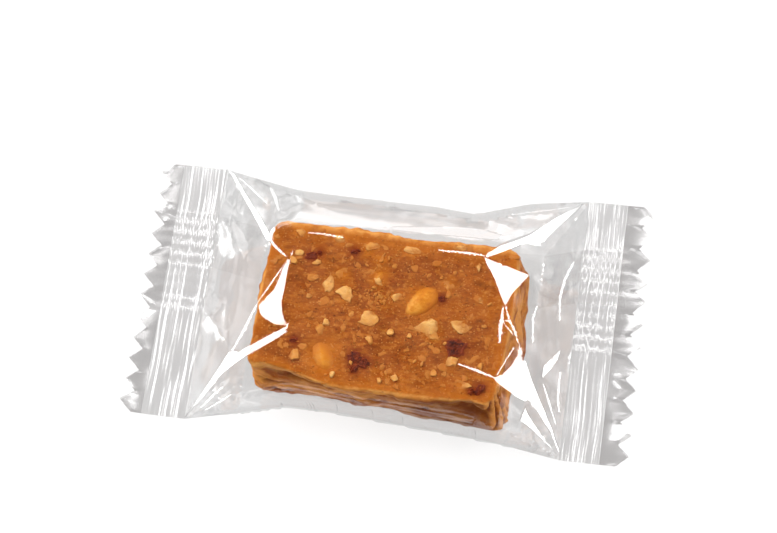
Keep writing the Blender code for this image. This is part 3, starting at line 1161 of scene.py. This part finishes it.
def side_relief(points):
    """How far the layers stand out, how deep the furrows are, and how light each layer is."""
    x, y, z = points.T
    level = np.zeros(len(x))
    sway = z + 1.1 * lumps(x, y, level, (7.0, 7.0, 1.0), 31.0)
    sway = sway + 0.35 * lumps(x, y, level, (1.8, 1.8, 1.0), 35.0)
    layer = np.clip(np.searchsorted(layer_lines, sway) - 1, 0, len(layer_lines) - 2)
    stand = 0.8 * lumps(x, y, layer * 5.0, (6.0, 6.0, 1.0), 40.0)
    stand += 0.3 * lumps(x, y, layer * 5.0, (1.6, 1.6, 1.0), 50.0)
    away = np.abs(sway[:, None] - layer_lines[None, 1:-1]).min(1)
    depth = 0.65 + 1.2 * lumps(x, y, z, (4.0, 4.0, 3.0), 60.0)
    furrow_and_shade = np.exp(-((away / furrow_width) ** 2)) * depth
    corner = np.exp(-(((x - corner_middle[0]) / corner_reach) ** 2)
                    - ((y - corner_middle[1]) / corner_reach) ** 2)
    nested = np.sin((y - 0.25 * z) * leaf_pitch)
    # The hollows between the corner's nested leaves count as furrows, so they get painted shade too.
    furrow_and_shade = np.clip(furrow_and_shade * (1 - corner) + corner * np.clip(-nested, 0, 1), 0, 1)
    out = stand * (1 - corner) + 0.3 * corner * nested - 0.7 * furrow_and_shade * (1 - corner)
    out += 0.22 * lumps(x, y, z, (1.0, 1.0, 0.6), 70.0)
    tone = 0.5 + 1.1 * lumps(x, y, layer * 5.0, (6.5, 6.5, 1.0), 45.0) + 0.45 * corner * nested
    return out, furrow_and_shade, tone


def fold_mouth(points):
    """Near the right end of the front side a fold stands open, with thin leaves inside."""
    x, y, z = points.T
    lean = z - mouth_middle[1] + 0.3 * (x - 17.6)
    mouth = np.exp(-(((x - mouth_middle[0]) / mouth_length) ** 2) - (lean / mouth_height) ** 2)
    mouth *= smoothstep(-y, half_bar[1] - 2.5, half_bar[1] - 0.8)
    return mouth, 0.5 + 0.5 * np.cos(lean * leaf_pitch)

# %% [markdown]
# ### Paint by place
# Near its edges the paste is thin and lets light through. That glow is painted into the colour,
# as a brighter and more amber rim. The lit lips of the cut edges get a painted highlight, and the
# furrows, the fold's mouth and the paste under the overhanging lip get painted shade. Round a nut
# the paste is more amber, and round a skin dark. Instead of guessing this in the shader, we store
# numbers on the mesh points: how near the rim is, how much a point belongs to a side, where a lip
# is lit, how deep a furrow or a painted shade is, how near a nut lies. The finish reads them back.
# For this the large nut pieces need their places before the bar is made.

# %% Where the large nut pieces sit
# Middle along and across the bar, length, width, turn in degrees, and how far it stands out.
golden_kernels = [
    (6.2, 2.5, 6.9, 4.3, 47, 0.7),
    (-8.1, -8.9, 7.2, 4.9, 112, 0.4),
    (-1.5, 5.6, 3.2, 2.6, 60, 0.35),
]
pale_chunks = [
    (8.3, -1.3, 4.4, 3.4, 20, 0.6),
    (9.2, -2.6, 2.6, 2.6, 70, 0.25),
    (-9.5, 3.5, 3.4, 2.0, 78, 0.4),
    (-6.7, 2.1, 3.6, 2.5, -12, 0.45),
    (-7.6, 5.4, 2.9, 2.1, 25, 0.15),
    (-1.3, 4.9, 2.0, 1.8, -20, 0.4),
    (-2.0, -1.4, 3.5, 2.3, -8, 0.5),
    (2.2, 2.8, 2.2, 1.9, 30, 0.35),
    (-9.2, 11.4, 1.9, 1.6, 10, 0.4),
    (-3.6, 10.7, 2.8, 1.7, 12, 0.3),
    (-1.7, 8.8, 2.4, 1.5, 45, 0.12),
    (3.1, 11.1, 2.9, 1.5, -10, 0.3),
    (11.2, 12.4, 2.2, 1.3, 0, 0.3),
    (-15.7, 11.8, 2.2, 1.7, 40, 0.3),
    (10.2, 6.1, 2.0, 2.6, 10, 0.12),
    (12.9, -0.6, 2.4, 2.8, 60, 0.35),
    (12.7, -6.9, 2.4, 1.9, 15, 0.4),
    (15.4, -10.2, 2.4, 1.8, -20, 0.4),
    (16.1, 4.2, 1.6, 1.2, 20, 0.25),
]
# Middle along and across the bar, size, and how far it stands out.
small_chunks = [
    (-15.5, 8.1, 1.4, 0.5), (-16.0, 6.6, 1.7, 0.4), (-12.2, 6.7, 1.5, 0.4), (-8.8, -3.2, 1.8, 0.5),
    (-9.6, -4.4, 2.2, 0.3), (2.0, -3.3, 1.5, 0.6), (-1.2, -5.0, 1.7, 0.4), (-6.1, -11.6, 1.3, 0.5),
    (1.7, -11.5, 1.2, 0.4), (4.1, -10.8, 1.5, 0.4), (10.3, -9.0, 1.3, 0.4), (-12.8, -9.4, 2.0, 0.4),
    (-5.0, -1.2, 1.3, 0.2), (5.2, -3.5, 1.0, 0.4), (-16.8, -4.5, 1.4, 0.3), (17.6, -7.0, 1.6, 0.4),
    (0.8, 8.0, 1.2, 0.2), (14.5, 9.6, 1.5, 0.3), (-12.5, 1.0, 1.2, 0.3), (6.8, -7.5, 1.0, 0.3),
    (-3.4, -9.3, 0.8, 0.4),
]
# Middle along and across the bar, half length, half width and turn of each skin.
skins = [
    (13.1, -4.3, 2.9, 2.3, 75), (-3.2, -8.3, 1.9, 1.5, 20), (-1.5, -8.9, 1.7, 1.3, -40),
    (-2.8, -10.0, 1.3, 1.0, 70), (-13.4, 7.8, 1.7, 1.0, 10), (-12.2, 8.4, 0.9, 0.7, 60),
    (18.0, -10.6, 1.7, 1.1, 60), (16.8, -11.2, 0.9, 0.7, 0), (9.4, 3.5, 0.9, 0.7, 0),
    (-13.5, -6.8, 1.0, 0.6, 30), (-6.2, 9.5, 1.2, 0.6, 15),
]


def nearness(x, y, spots, spread):
    """1 in the middle of any spot, falling to 0 past its edge."""
    near = np.zeros(len(x))
    for spot_x, spot_y, length, width, *_ in spots:
        wide = (length + width) / 4 + spread
        near = np.maximum(near, np.exp(-(((x - spot_x) ** 2 + (y - spot_y) ** 2) / wide**2)))
    return near


print("nut pieces placed by hand:", len(golden_kernels + pale_chunks + small_chunks + skins))

# %% Numbers kept on the points


def store(piece, name, values):
    """Keep one number on each mesh point for the finish to read."""
    layer = piece.data.attributes.new(name, "FLOAT", "POINT")
    layer.data.foreach_set("value", np.asarray(values, dtype=np.float32))


def place_in_wrap(points):
    """From the bar's own frame, where zero height is its middle, to the wrap's."""
    x, y, z = np.asarray(points).T
    return np.column_stack([x * math.cos(bar_turn) - y * math.sin(bar_turn),
                            x * math.sin(bar_turn) + y * math.cos(bar_turn) + bar_shift,
                            z + bar_middle])


def bell(value, middle, width):
    """1 where a value is at the middle, falling away on both sides."""
    return np.exp(-(((value - middle) / width) ** 2))

# %% Paint numbers of the bar


def facings(outward):
    """How much each point faces sideways, and how much upwards."""
    return np.linalg.norm(outward[:, :2], axis=1), np.clip(outward[:, 2], 0, 1)


def paint_top(bar, points, outward, inset):
    """How near each point of the top is to the rim, to a nut and to a skin."""
    x, y, _ = points.T
    _, top = facings(outward)
    near_nuts = np.maximum(nearness(x, y, golden_kernels, 0.5), 0.7 * nearness(x, y, pale_chunks, 0.6))
    # The rim number paints a glow, light through the thin edge, as a brighter amber.
    store(bar, "rim", np.exp(-np.maximum(inset, 0) / 1.6) * top)
    store(bar, "amber", near_nuts * top)
    store(bar, "dusk", nearness(x, y, skins, 0.9) * top)


def paint_sides(bar, points, outward, furrow_and_shade, tone, mouth, leaf_gap):
    """Painted highlight on the lit lips of the edges, the layers, and painted shade in furrows and
    hollows.
    """
    x, y, z = points.T
    side, top = facings(outward)
    front_left = (y < 0) * smoothstep(-x, -4.0, 10.0) * side
    sag = z - 0.05 * (x + 20) + 0.5 * lumps(x, y, x * 0, (5.0, 5.0, 1.0), 33.0)
    # Painted highlight: the rounded top edges, the back edge and the overhanging front lip are lightened
    # as if lit.
    edge = bell(side, 0.55, 0.35) * (z > 0) * (outward[:, 2] > 0.05)
    back = smoothstep(y, half_bar[1] - 1.6, half_bar[1] - 0.4) * top * 0.8
    overhang = smoothstep(sag, 3.0, 3.5) * front_left * (z < half_bar[2] - 0.2)
    # Painted shade: the front side darker towards its right end, and inside the fold's mouth, darkest
    # between its leaves.
    dark_right = 0.62 * smoothstep(x, -4.0, 12.0) * (y < 0) * (x < 19.5)
    shade = np.maximum(mouth * (0.35 + 0.6 * leaf_gap), dark_right)
    # Painted shadow under the overhanging lip.
    under = bell(sag, 2.3, 0.6) * front_left
    store(bar, "side", side)
    store(bar, "lip_highlight", np.maximum(np.maximum(edge, back), overhang))
    store(bar, "furrow_and_shade", side * np.maximum(np.maximum(furrow_and_shade, shade), 0.65 * under))
    store(bar, "layer", tone + 0.5 * bell(sag, -0.2, 1.1) * front_left)

# %% [markdown]
# ## Finish of the paste
# Kneaded peanut paste is translucent and never one colour: broad warm and dark patches, streaks
# along the pull, a fine grain, light specks of nut and dark pores. A painted image would show
# its seams on the cut sides, so the colours come from noise in the piece's own space. We start
# from two browns and lay one coat over another, each through its own mask. Some coats are painted
# light and shade: a glow at the rim, a highlight on the lips, and shade in the furrows. A little
# subsurface scattering softens it, as light spreads inside the paste.

# %% Helper for solid finishes


class Finish(Wiring):
    """A solid material under construction. Its masks are noise in millimetres or stored numbers."""

    def __init__(self, name, shine, spread):
        self.material = bpy.data.materials.new(name)
        super().__init__(self.material)
        self.shader = self.nodes["Principled BSDF"]
        self.place = self.add("TexCoord").outputs["Object"]
        settings = {"Specular IOR Level": shine, "Subsurface Weight": 0.15,
                    "Subsurface Radius": spread, "Subsurface Scale": 0.8 * mm}
        for key, value in settings.items():
            self.feed(self.shader.inputs[key], value)

    def stretched(self, scale):
        """Object coordinates in millimetres, stretched along an axis."""
        scale = [s / mm for s in scale]
        return self.add("Mapping", {"Vector": self.place, "Scale": scale}).outputs["Vector"]

    def cloud(self, scale, detail=3.0, rough=0.6):
        """Noise with this many cells to a millimetre along each axis."""
        inputs = {"Vector": self.stretched(scale), "Scale": 1.0, "Detail": detail, "Roughness": rough}
        return self.add("TexNoise", inputs).outputs["Fac"]

    def pits(self, scale):
        """Distance to the middle of scattered cells."""
        inputs = {"Vector": self.stretched(scale), "Scale": 1.0}
        return self.add("TexVoronoi", inputs).outputs["Distance"]

    def number(self, name):
        """A number that was stored on the mesh points."""
        return self.add("Attribute", attribute_name=name).outputs["Fac"]

    def coat(self, under, mask, low, high, share, colour):
        """Lay a colour over another where a mask goes from low to high, up to the given share."""
        return self.blend(self.between(mask, low, high, 0.0, share), under, colour)

    def finish(self, colour, rough, bump, depth):
        """Wire colour, roughness and relief to the shader."""
        relief = self.add("Bump", {"Distance": depth * mm, "Height": bump}).outputs["Normal"]
        for key, value in (("Base Color", colour), ("Roughness", rough), ("Normal", relief)):
            self.feed(self.shader.inputs[key], value)
        return self.material

# %% Paste


def side_colour(paste):
    """The cut sides: each layer has its own tone, with a marbling over it."""
    marbled = paste.between(paste.cloud((0.45, 0.45, 1.1), 3.0), 0.3, 0.7, -0.35, 0.35)
    tone = paste.between(paste.reckon("ADD", paste.number("layer"), marbled), 0.15, 0.85)
    return paste.blend(tone, (0.40, 0.100, 0.009), (0.86, 0.36, 0.080))


def paste_finish():
    """Coat over coat of brown: the top, the rim's painted glow, the sides with painted light and shade,
    the nuts.
    """
    paste = Finish("peanut_paste", 0.06, (1.0, 0.4, 0.12))
    broad = paste.cloud((0.16, 0.22, 0.25), 2.0)
    streak = paste.cloud((0.40, 1.4, 1.2), 4.0, 0.62)
    blotch = paste.cloud((0.75, 1.0, 0.9), 3.0, 0.6)
    grain = paste.cloud((2.0, 2.4, 2.2), 3.0, 0.65)
    specks = paste.pits((1.5, 1.8, 1.7))
    pores = paste.pits((1.0, 1.2, 1.1))
    colour = paste.blend(paste.between(broad, 0.35, 0.65), (0.25, 0.047, 0.002), (0.345, 0.078, 0.004))
    # Each coat: its mask, where the mask starts and is full, the largest share, and the colour.
    for coat in ((blotch, 0.46, 0.28, 0.85, (0.17, 0.032, 0.002)),
                 (streak, 0.50, 0.70, 0.8, (0.48, 0.142, 0.013)),
                 (blotch, 0.56, 0.72, 0.8, (0.52, 0.180, 0.028)),
                 (grain, 0.54, 0.74, 0.55, (0.48, 0.155, 0.022)),
                 (grain, 0.45, 0.28, 0.65, (0.17, 0.034, 0.003)),
                 (specks, 0.24, 0.12, 0.7, (0.58, 0.25, 0.06)),
                 (pores, 0.17, 0.09, 0.7, (0.13, 0.022, 0.003))):
        colour = paste.coat(colour, *coat)
    # Painted glow of light through the thin edges: the top's rim turns a brighter amber.
    rim = paste.reckon("MULTIPLY", paste.number("rim"), paste.between(broad, 0.3, 0.7, 0.6, 1.0))
    colour = paste.blend(rim, colour, (0.56, 0.150, 0.004))
    colour = paste.blend(paste.between(paste.number("side"), 0.35, 0.9, 0.0, 0.8), colour,
                         side_colour(paste))
    # Painted highlight: the lit lips turn light tan, in patches.
    lip_light_patches = paste.between(paste.cloud((0.5, 0.5, 1.0)), 0.35, 0.6, 0.2, 0.9)
    colour = paste.blend(paste.reckon("MULTIPLY", paste.number("lip_highlight"), lip_light_patches), colour, (0.80, 0.38, 0.095))
    # Painted shade where the stored furrow number is high: furrows, the fold's mouth, under the lip and
    # towards the right.
    for coat in ((paste.number("furrow_and_shade"), 0.15, 0.9, 0.85, (0.15, 0.032, 0.003)),
                 (paste.number("amber"), 0.2, 1.0, 0.6, (0.60, 0.175, 0.006)),
                 (paste.number("dusk"), 0.2, 0.9, 0.85, (0.20, 0.026, 0.002))):
        colour = paste.coat(colour, *coat)
    rough = paste.between(paste.cloud((1.0, 1.6, 1.2)), 0.3, 0.7, 0.42, 0.65)
    relief = paste.reckon("ADD", grain, paste.between(pores, 0.0, 0.25))
    return paste.finish(colour, rough, relief, 0.14)


paste = paste_finish()
print("paste:", len(paste.node_tree.nodes), "nodes")

# %% Knead the bar
film_room = 0.3


def knead():
    """The box, rounded, leant, and pushed in and out by its layers and lumps."""
    grid, faces = box_grid()
    points, outward, inset = round_edges(grid)
    x, y, z = points.T
    side, top = facings(outward)
    layers, furrow_and_shade, tone = side_relief(points)
    mouth, leaf_gap = fold_mouth(points)
    bulge = 0.35 * lumps(x, y, z, (12.0, 12.0, 9.0), 80.0) - 0.2
    push = side**2 * (layers + bulge - mouth * (0.75 + 0.75 * leaf_gap))
    sunk_rim = 0.35 * np.exp(-inset / 1.2) * (0.4 + lumps(x, y, z, (3.0, 3.0, 9.0), 90.0))
    moved = lean_out(points) + outward * push[:, None]
    moved[:, 2] += top * (top_relief(x, y) - sunk_rim)
    moved[:, 2] = np.maximum(moved[:, 2], film_room - bar_middle)
    bar = make_piece("candy_bar", place_in_wrap(moved), faces, paste)
    paint_top(bar, points, outward, inset)
    paint_sides(bar, points, outward, furrow_and_shade, tone, mouth, leaf_gap)
    return bar


bar = knead()
print("bar:", len(bar.data.vertices), "points")

# %% [markdown]
# ## Nuts, crumbs and skins
# A nut chunk breaks along flat faces. Cutting real blocks would take a Boolean for every face,
# so we take a ball of small triangles and press it flat against a few random planes, which
# leaves the facets and blunt edges of chopped peanut. A whole kernel half is only an oval with a
# faint ridge. Most pieces are half sunk in the paste, and each kind is joined into one mesh.

# %% Balls and chips
chip_share = 0.94


def ball(detail):
    """Points and triangles of a round ball of radius 1."""
    shape = bmesh.new()
    bmesh.ops.create_icosphere(shape, subdivisions=detail, radius=1)
    points = np.array([tuple(v.co) for v in shape.verts])
    faces = [[v.index for v in f.verts] for f in shape.faces]
    shape.free()
    return points, faces


def roughened(points, size, seed, depth):
    """The points of a piece moved a little by noise, each axis by its own."""
    moves = [lumps(*(points * size).T, (1, 1, 1), seed + k) for k in range(3)]
    return points + depth * np.column_stack(moves)


def chip(points, cuts, depth, rag=0.0):
    """Press a ball flat on top and against random planes, then roughen it."""
    ways = chance.normal(size=(cuts, 3)) * (1, 1, 0.45)
    ways = np.vstack([ways, [(0.15, -0.1, 1.0)]])
    for way in ways / np.linalg.norm(ways, axis=1)[:, None]:
        over = np.maximum(points @ way - chance.uniform(*depth), 0)
        points = points - chip_share * over[:, None] * way
    return roughened(points, 1.9, chance.uniform(0, 90), rag) if rag else points

# %% Lay and gather
smear_height = 0.48


def settle_on_top(points, x, y, size, turn, stand):
    """Scale, turn and lay a piece on the bar so that it stands out by a given height."""
    points = points * np.array(size) / 2
    angle = math.radians(turn)
    px = points[:, 0] * math.cos(angle) - points[:, 1] * math.sin(angle) + x
    py = points[:, 0] * math.sin(angle) + points[:, 1] * math.cos(angle) + y
    level = half_bar[2] + top_relief(np.array([x]), np.array([y]))[0]
    return np.column_stack([px, py, points[:, 2] - points[:, 2].max() + level + stand])


class Heap:
    """Many small pieces gathered into one mesh, each with its own tone and a smear of paste."""

    def __init__(self):
        self.points, self.faces, self.tones, self.smears, self.count = [], [], [], [], 0

    def add(self, points, faces, tone):
        """One more piece. The lower it lies in the paste, the more paste clings to it."""
        bare = points[:, 2] - half_bar[2] - top_relief(points[:, 0], points[:, 1])
        self.points.append(points)
        self.faces += [[i + self.count for i in face] for face in faces]
        self.tones += list(np.broadcast_to(tone, len(points)))
        self.smears += list(np.clip(1 - bare / smear_height, 0, 1))
        self.count += len(points)

    def build(self, name, finish):
        """All the pieces as one mesh object in its place in the wrap."""
        piece = make_piece(name, place_in_wrap(np.vstack(self.points)), self.faces, finish)
        store(piece, "tone", self.tones)
        store(piece, "smear", self.smears)
        print(name + ":", len(piece.data.polygons), "faces")
        return piece

# %% [markdown]
# ### Finishes of nut and skin
# Peanut is waxy and pale where it is freshly chopped, golden where it is roasted or has soaked up
# oil, and its skin is a dry dark red. One recipe fits all three: three colours from dark to
# light, chosen by the piece's own tone with a fine grain over it, and the colour of smeared
# paste wherever the piece lies low. A separate material for each chip would say no more.

# %% Nut finishes


def nut_finish(name, dark, middle, light, smeared, depth):
    """Three colours by tone, paste where it clings, and a grain this deep in millimetres."""
    nut = Finish(name, 0.15, (1.0, 0.5, 0.2))
    grain = nut.cloud((0.9, 1.1, 0.9), 4.0, 0.65)
    tone = nut.reckon("ADD", nut.number("tone"), nut.between(grain, 0.3, 0.7, -0.35, 0.35))
    colour = nut.blend(nut.between(tone, 0.0, 0.5), dark, middle)
    colour = nut.blend(nut.between(tone, 0.5, 1.0), colour, light)
    smear = nut.reckon("ADD", nut.number("smear"), nut.between(grain, 0.35, 0.65, -0.35, 0.3))
    colour = nut.coat(colour, smear, 0.2, 0.9, 0.85, smeared)
    rough = nut.between(nut.cloud((1.2, 1.2, 1.2)), 0.3, 0.7, 0.4, 0.6)
    return nut.finish(colour, rough, grain, depth)


golden = nut_finish("golden_peanut", (0.51, 0.145, 0.005), (0.66, 0.23, 0.012),
                    (0.84, 0.42, 0.065), (0.47, 0.125, 0.005), 0.05)
pale = nut_finish("pale_peanut", (0.50, 0.165, 0.020), (0.70, 0.31, 0.062),
                  (0.88, 0.53, 0.18), (0.46, 0.135, 0.012), 0.08)
skin_red = nut_finish("peanut_skin", (0.055, 0.005, 0.0005), (0.15, 0.016, 0.001),
                      (0.36, 0.075, 0.009), (0.26, 0.038, 0.003), 0.12)
print("nut finishes:", [finish.name for finish in (golden, pale, skin_red)])

# %% Kernels
kernel_height = 2.6
seam_height, seam_width = 0.06, 0.12


def make_kernels():
    """Half kernels: ovals, a little wider at one end, with a faint raised seam along the top."""
    heap, (points, faces) = Heap(), ball(4)
    for x, y, length, width, turn, stand in golden_kernels:
        shape = points.copy()
        shape[:, 1] *= 1 + 0.14 * shape[:, 0]
        shape[:, 2] += seam_height * bell(shape[:, 1], 0.1, seam_width) * (shape[:, 2] > 0)
        shape = roughened(shape, 2.2, 5.0, 0.035)
        grain = lumps(*(shape * 1.5).T, (1, 1, 1), x)
        # Painted highlight: each kernel is lighter towards one end and one side, and darker at the other.
        tone = 0.55 - 0.3 * shape[:, 0] + 0.25 * shape[:, 1] + 0.2 * grain
        size = length, width, kernel_height
        heap.add(settle_on_top(shape, x, y, size, turn, stand), faces, tone)
    return heap.build("golden_kernels", golden)


kernels = make_kernels()

# %% Chunks
# Pressing a ball flat makes it narrower, so the large and small chunks start this much wider.
large_excess, small_excess = 1.25, 1.15
large_height, small_height, sunken_height = 2.0, 1.1, 1.0
chip_depth = 0.45, 0.85
sunken_chunks = 150


def make_chunks():
    """Pale chunks: large and small ones listed, then many that barely show through the paste."""
    heap, (fine, fine_faces), (coarse, coarse_faces) = Heap(), ball(4), ball(3)
    for x, y, length, width, turn, stand in pale_chunks:
        shape = chip(fine, 8, chip_depth, 0.18)
        tone = chance.uniform(0.6, 0.95) * min(1, 0.6 + stand)
        size = length * large_excess, width * large_excess, large_height
        heap.add(settle_on_top(shape, x, y, size, turn, stand), fine_faces, tone)
    for x, y, length, stand in small_chunks:
        shape = chip(coarse, 7, chip_depth, 0.18)
        turn, slim = chance.uniform(0, 180), chance.uniform(0.6, 0.9)
        size = length * small_excess, length * slim * small_excess, small_height
        tone = chance.uniform(0.35, 0.85)
        heap.add(settle_on_top(shape, x, y, size, turn, stand), coarse_faces, tone)
    for _ in range(sunken_chunks):
        x, y, length = chance.uniform(-20, 20), chance.uniform(-12.6, 12.8), chance.uniform(0.9, 2.6)
        shape = chip(coarse, 7, chip_depth, 0.2)
        stand = chance.uniform(0.02, 0.16)
        size = length, length * chance.uniform(0.5, 0.9), sunken_height
        turn, tone = chance.uniform(0, 180), chance.uniform(0.0, 0.55)
        heap.add(settle_on_top(shape, x, y, size, turn, stand), coarse_faces, tone)
    return heap.build("pale_chunks", pale)


chunks = make_chunks()

# %% Crumbs
dust, patch = 420, 60
largest_crumb = 1.1


def make_crumbs():
    """Fine nut dust all over, and thicker in two patches."""
    heap, (points, faces) = Heap(), ball(2)
    spots = [(chance.uniform(-19.8, 19.8), chance.uniform(-12.4, 12.4), 1.0) for _ in range(dust)]
    spots += [(chance.normal(-1.2, 1.6), chance.normal(2.4, 0.9), 1.9) for _ in range(patch)]
    spots += [(chance.normal(8.0, 3.5), chance.normal(-2.0, 3.0), 0.9) for _ in range(patch)]
    for x, y, scale in spots:
        length = min(scale * (0.22 + 0.16 * chance.pareto(2.6)), largest_crumb)
        shape = chip(points, 5, (0.5, 0.9))
        size = length, length * chance.uniform(0.55, 1.0), length * 0.8
        turn, stand = chance.uniform(0, 180), length * chance.uniform(0.08, 0.3)
        heap.add(settle_on_top(shape, x, y, size, turn, stand), faces, chance.uniform(0.0, 0.6))
    return heap.build("nut_crumbs", pale)


crumbs = make_crumbs()

# %% [markdown]
# ### Skins
# A few dark red skins are kneaded in. Each is a thin wrinkled flake whose edge dips into the
# paste. Its back never shows, so it needs no thickness, and a cloth simulation would be more
# than it needs: a disc of rings is enough, with an uneven outline and with sharp folds, which
# come from noise that has lost its sign.

# %% Wrinkled skins
rings, spokes = 16, 40
# The skins are listed this many times larger than they lie.
skin_shrink = 1.3


def make_skins():
    """Each flake is a disc whose rings are wrinkled, and dip under the paste at the edge."""
    heap = Heap()
    angles = np.linspace(0, 2 * np.pi, spokes, endpoint=False)
    share = np.linspace(0.02, 1, rings)
    faces = [(r * spokes + a, r * spokes + (a + 1) % spokes, (r + 1) * spokes + (a + 1) % spokes,
              (r + 1) * spokes + a) for r in range(rings - 1) for a in range(spokes)]
    faces.append(tuple(range(spokes))[::-1])
    for k, (x, y, length, width, turn) in enumerate(skins):
        edge = np.array([1 + 0.45 * wobble(math.cos(a) * 1.6, math.sin(a) * 1.6, k * 3.3)
                         for a in angles])
        u = (share[:, None] * np.cos(angles) * edge).ravel()
        v = (share[:, None] * np.sin(angles) * edge).ravel()
        wrinkle = 0.5 - np.abs(lumps(u * length, v * width, u * 0, (0.9, 0.55, 1.0), k * 5.0))
        rise = 0.75 * wrinkle + 0.1 - 0.95 * np.repeat(share, spokes) ** 6
        angle = math.radians(turn)
        px = x + (u * length * math.cos(angle) - v * width * math.sin(angle)) / skin_shrink
        py = y + (u * length * math.sin(angle) + v * width * math.cos(angle)) / skin_shrink
        pz = half_bar[2] + top_relief(px, py) + rise * 0.8
        heap.add(np.column_stack([px, py, pz]), faces, chance.uniform(0.25, 0.5))
    return heap.build("peanut_skins", skin_red)


flakes = make_skins()

# %% [markdown]
# ## Hand the pieces over
# The wrap is sealed and nothing in it moves by itself, so every piece rides on the one body of
# the model and takes the place of its one solid. The pieces are listed by what they are made
# of: film, candy, peanut or skin. The last line prints how many pieces there are.

# %% Everything rides on the one body
slots = {"film": [film_sleeve, fin_strip, *ends], "candy": [bar],
         "peanut": [kernels, chunks, crumbs], "skin": [flakes]}
for slot, pieces in slots.items():
    for piece in pieces:
        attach(piece, "root")
        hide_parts("wrapped_candy")
print("pieces:", sum(len(pieces) for pieces in slots.values()))
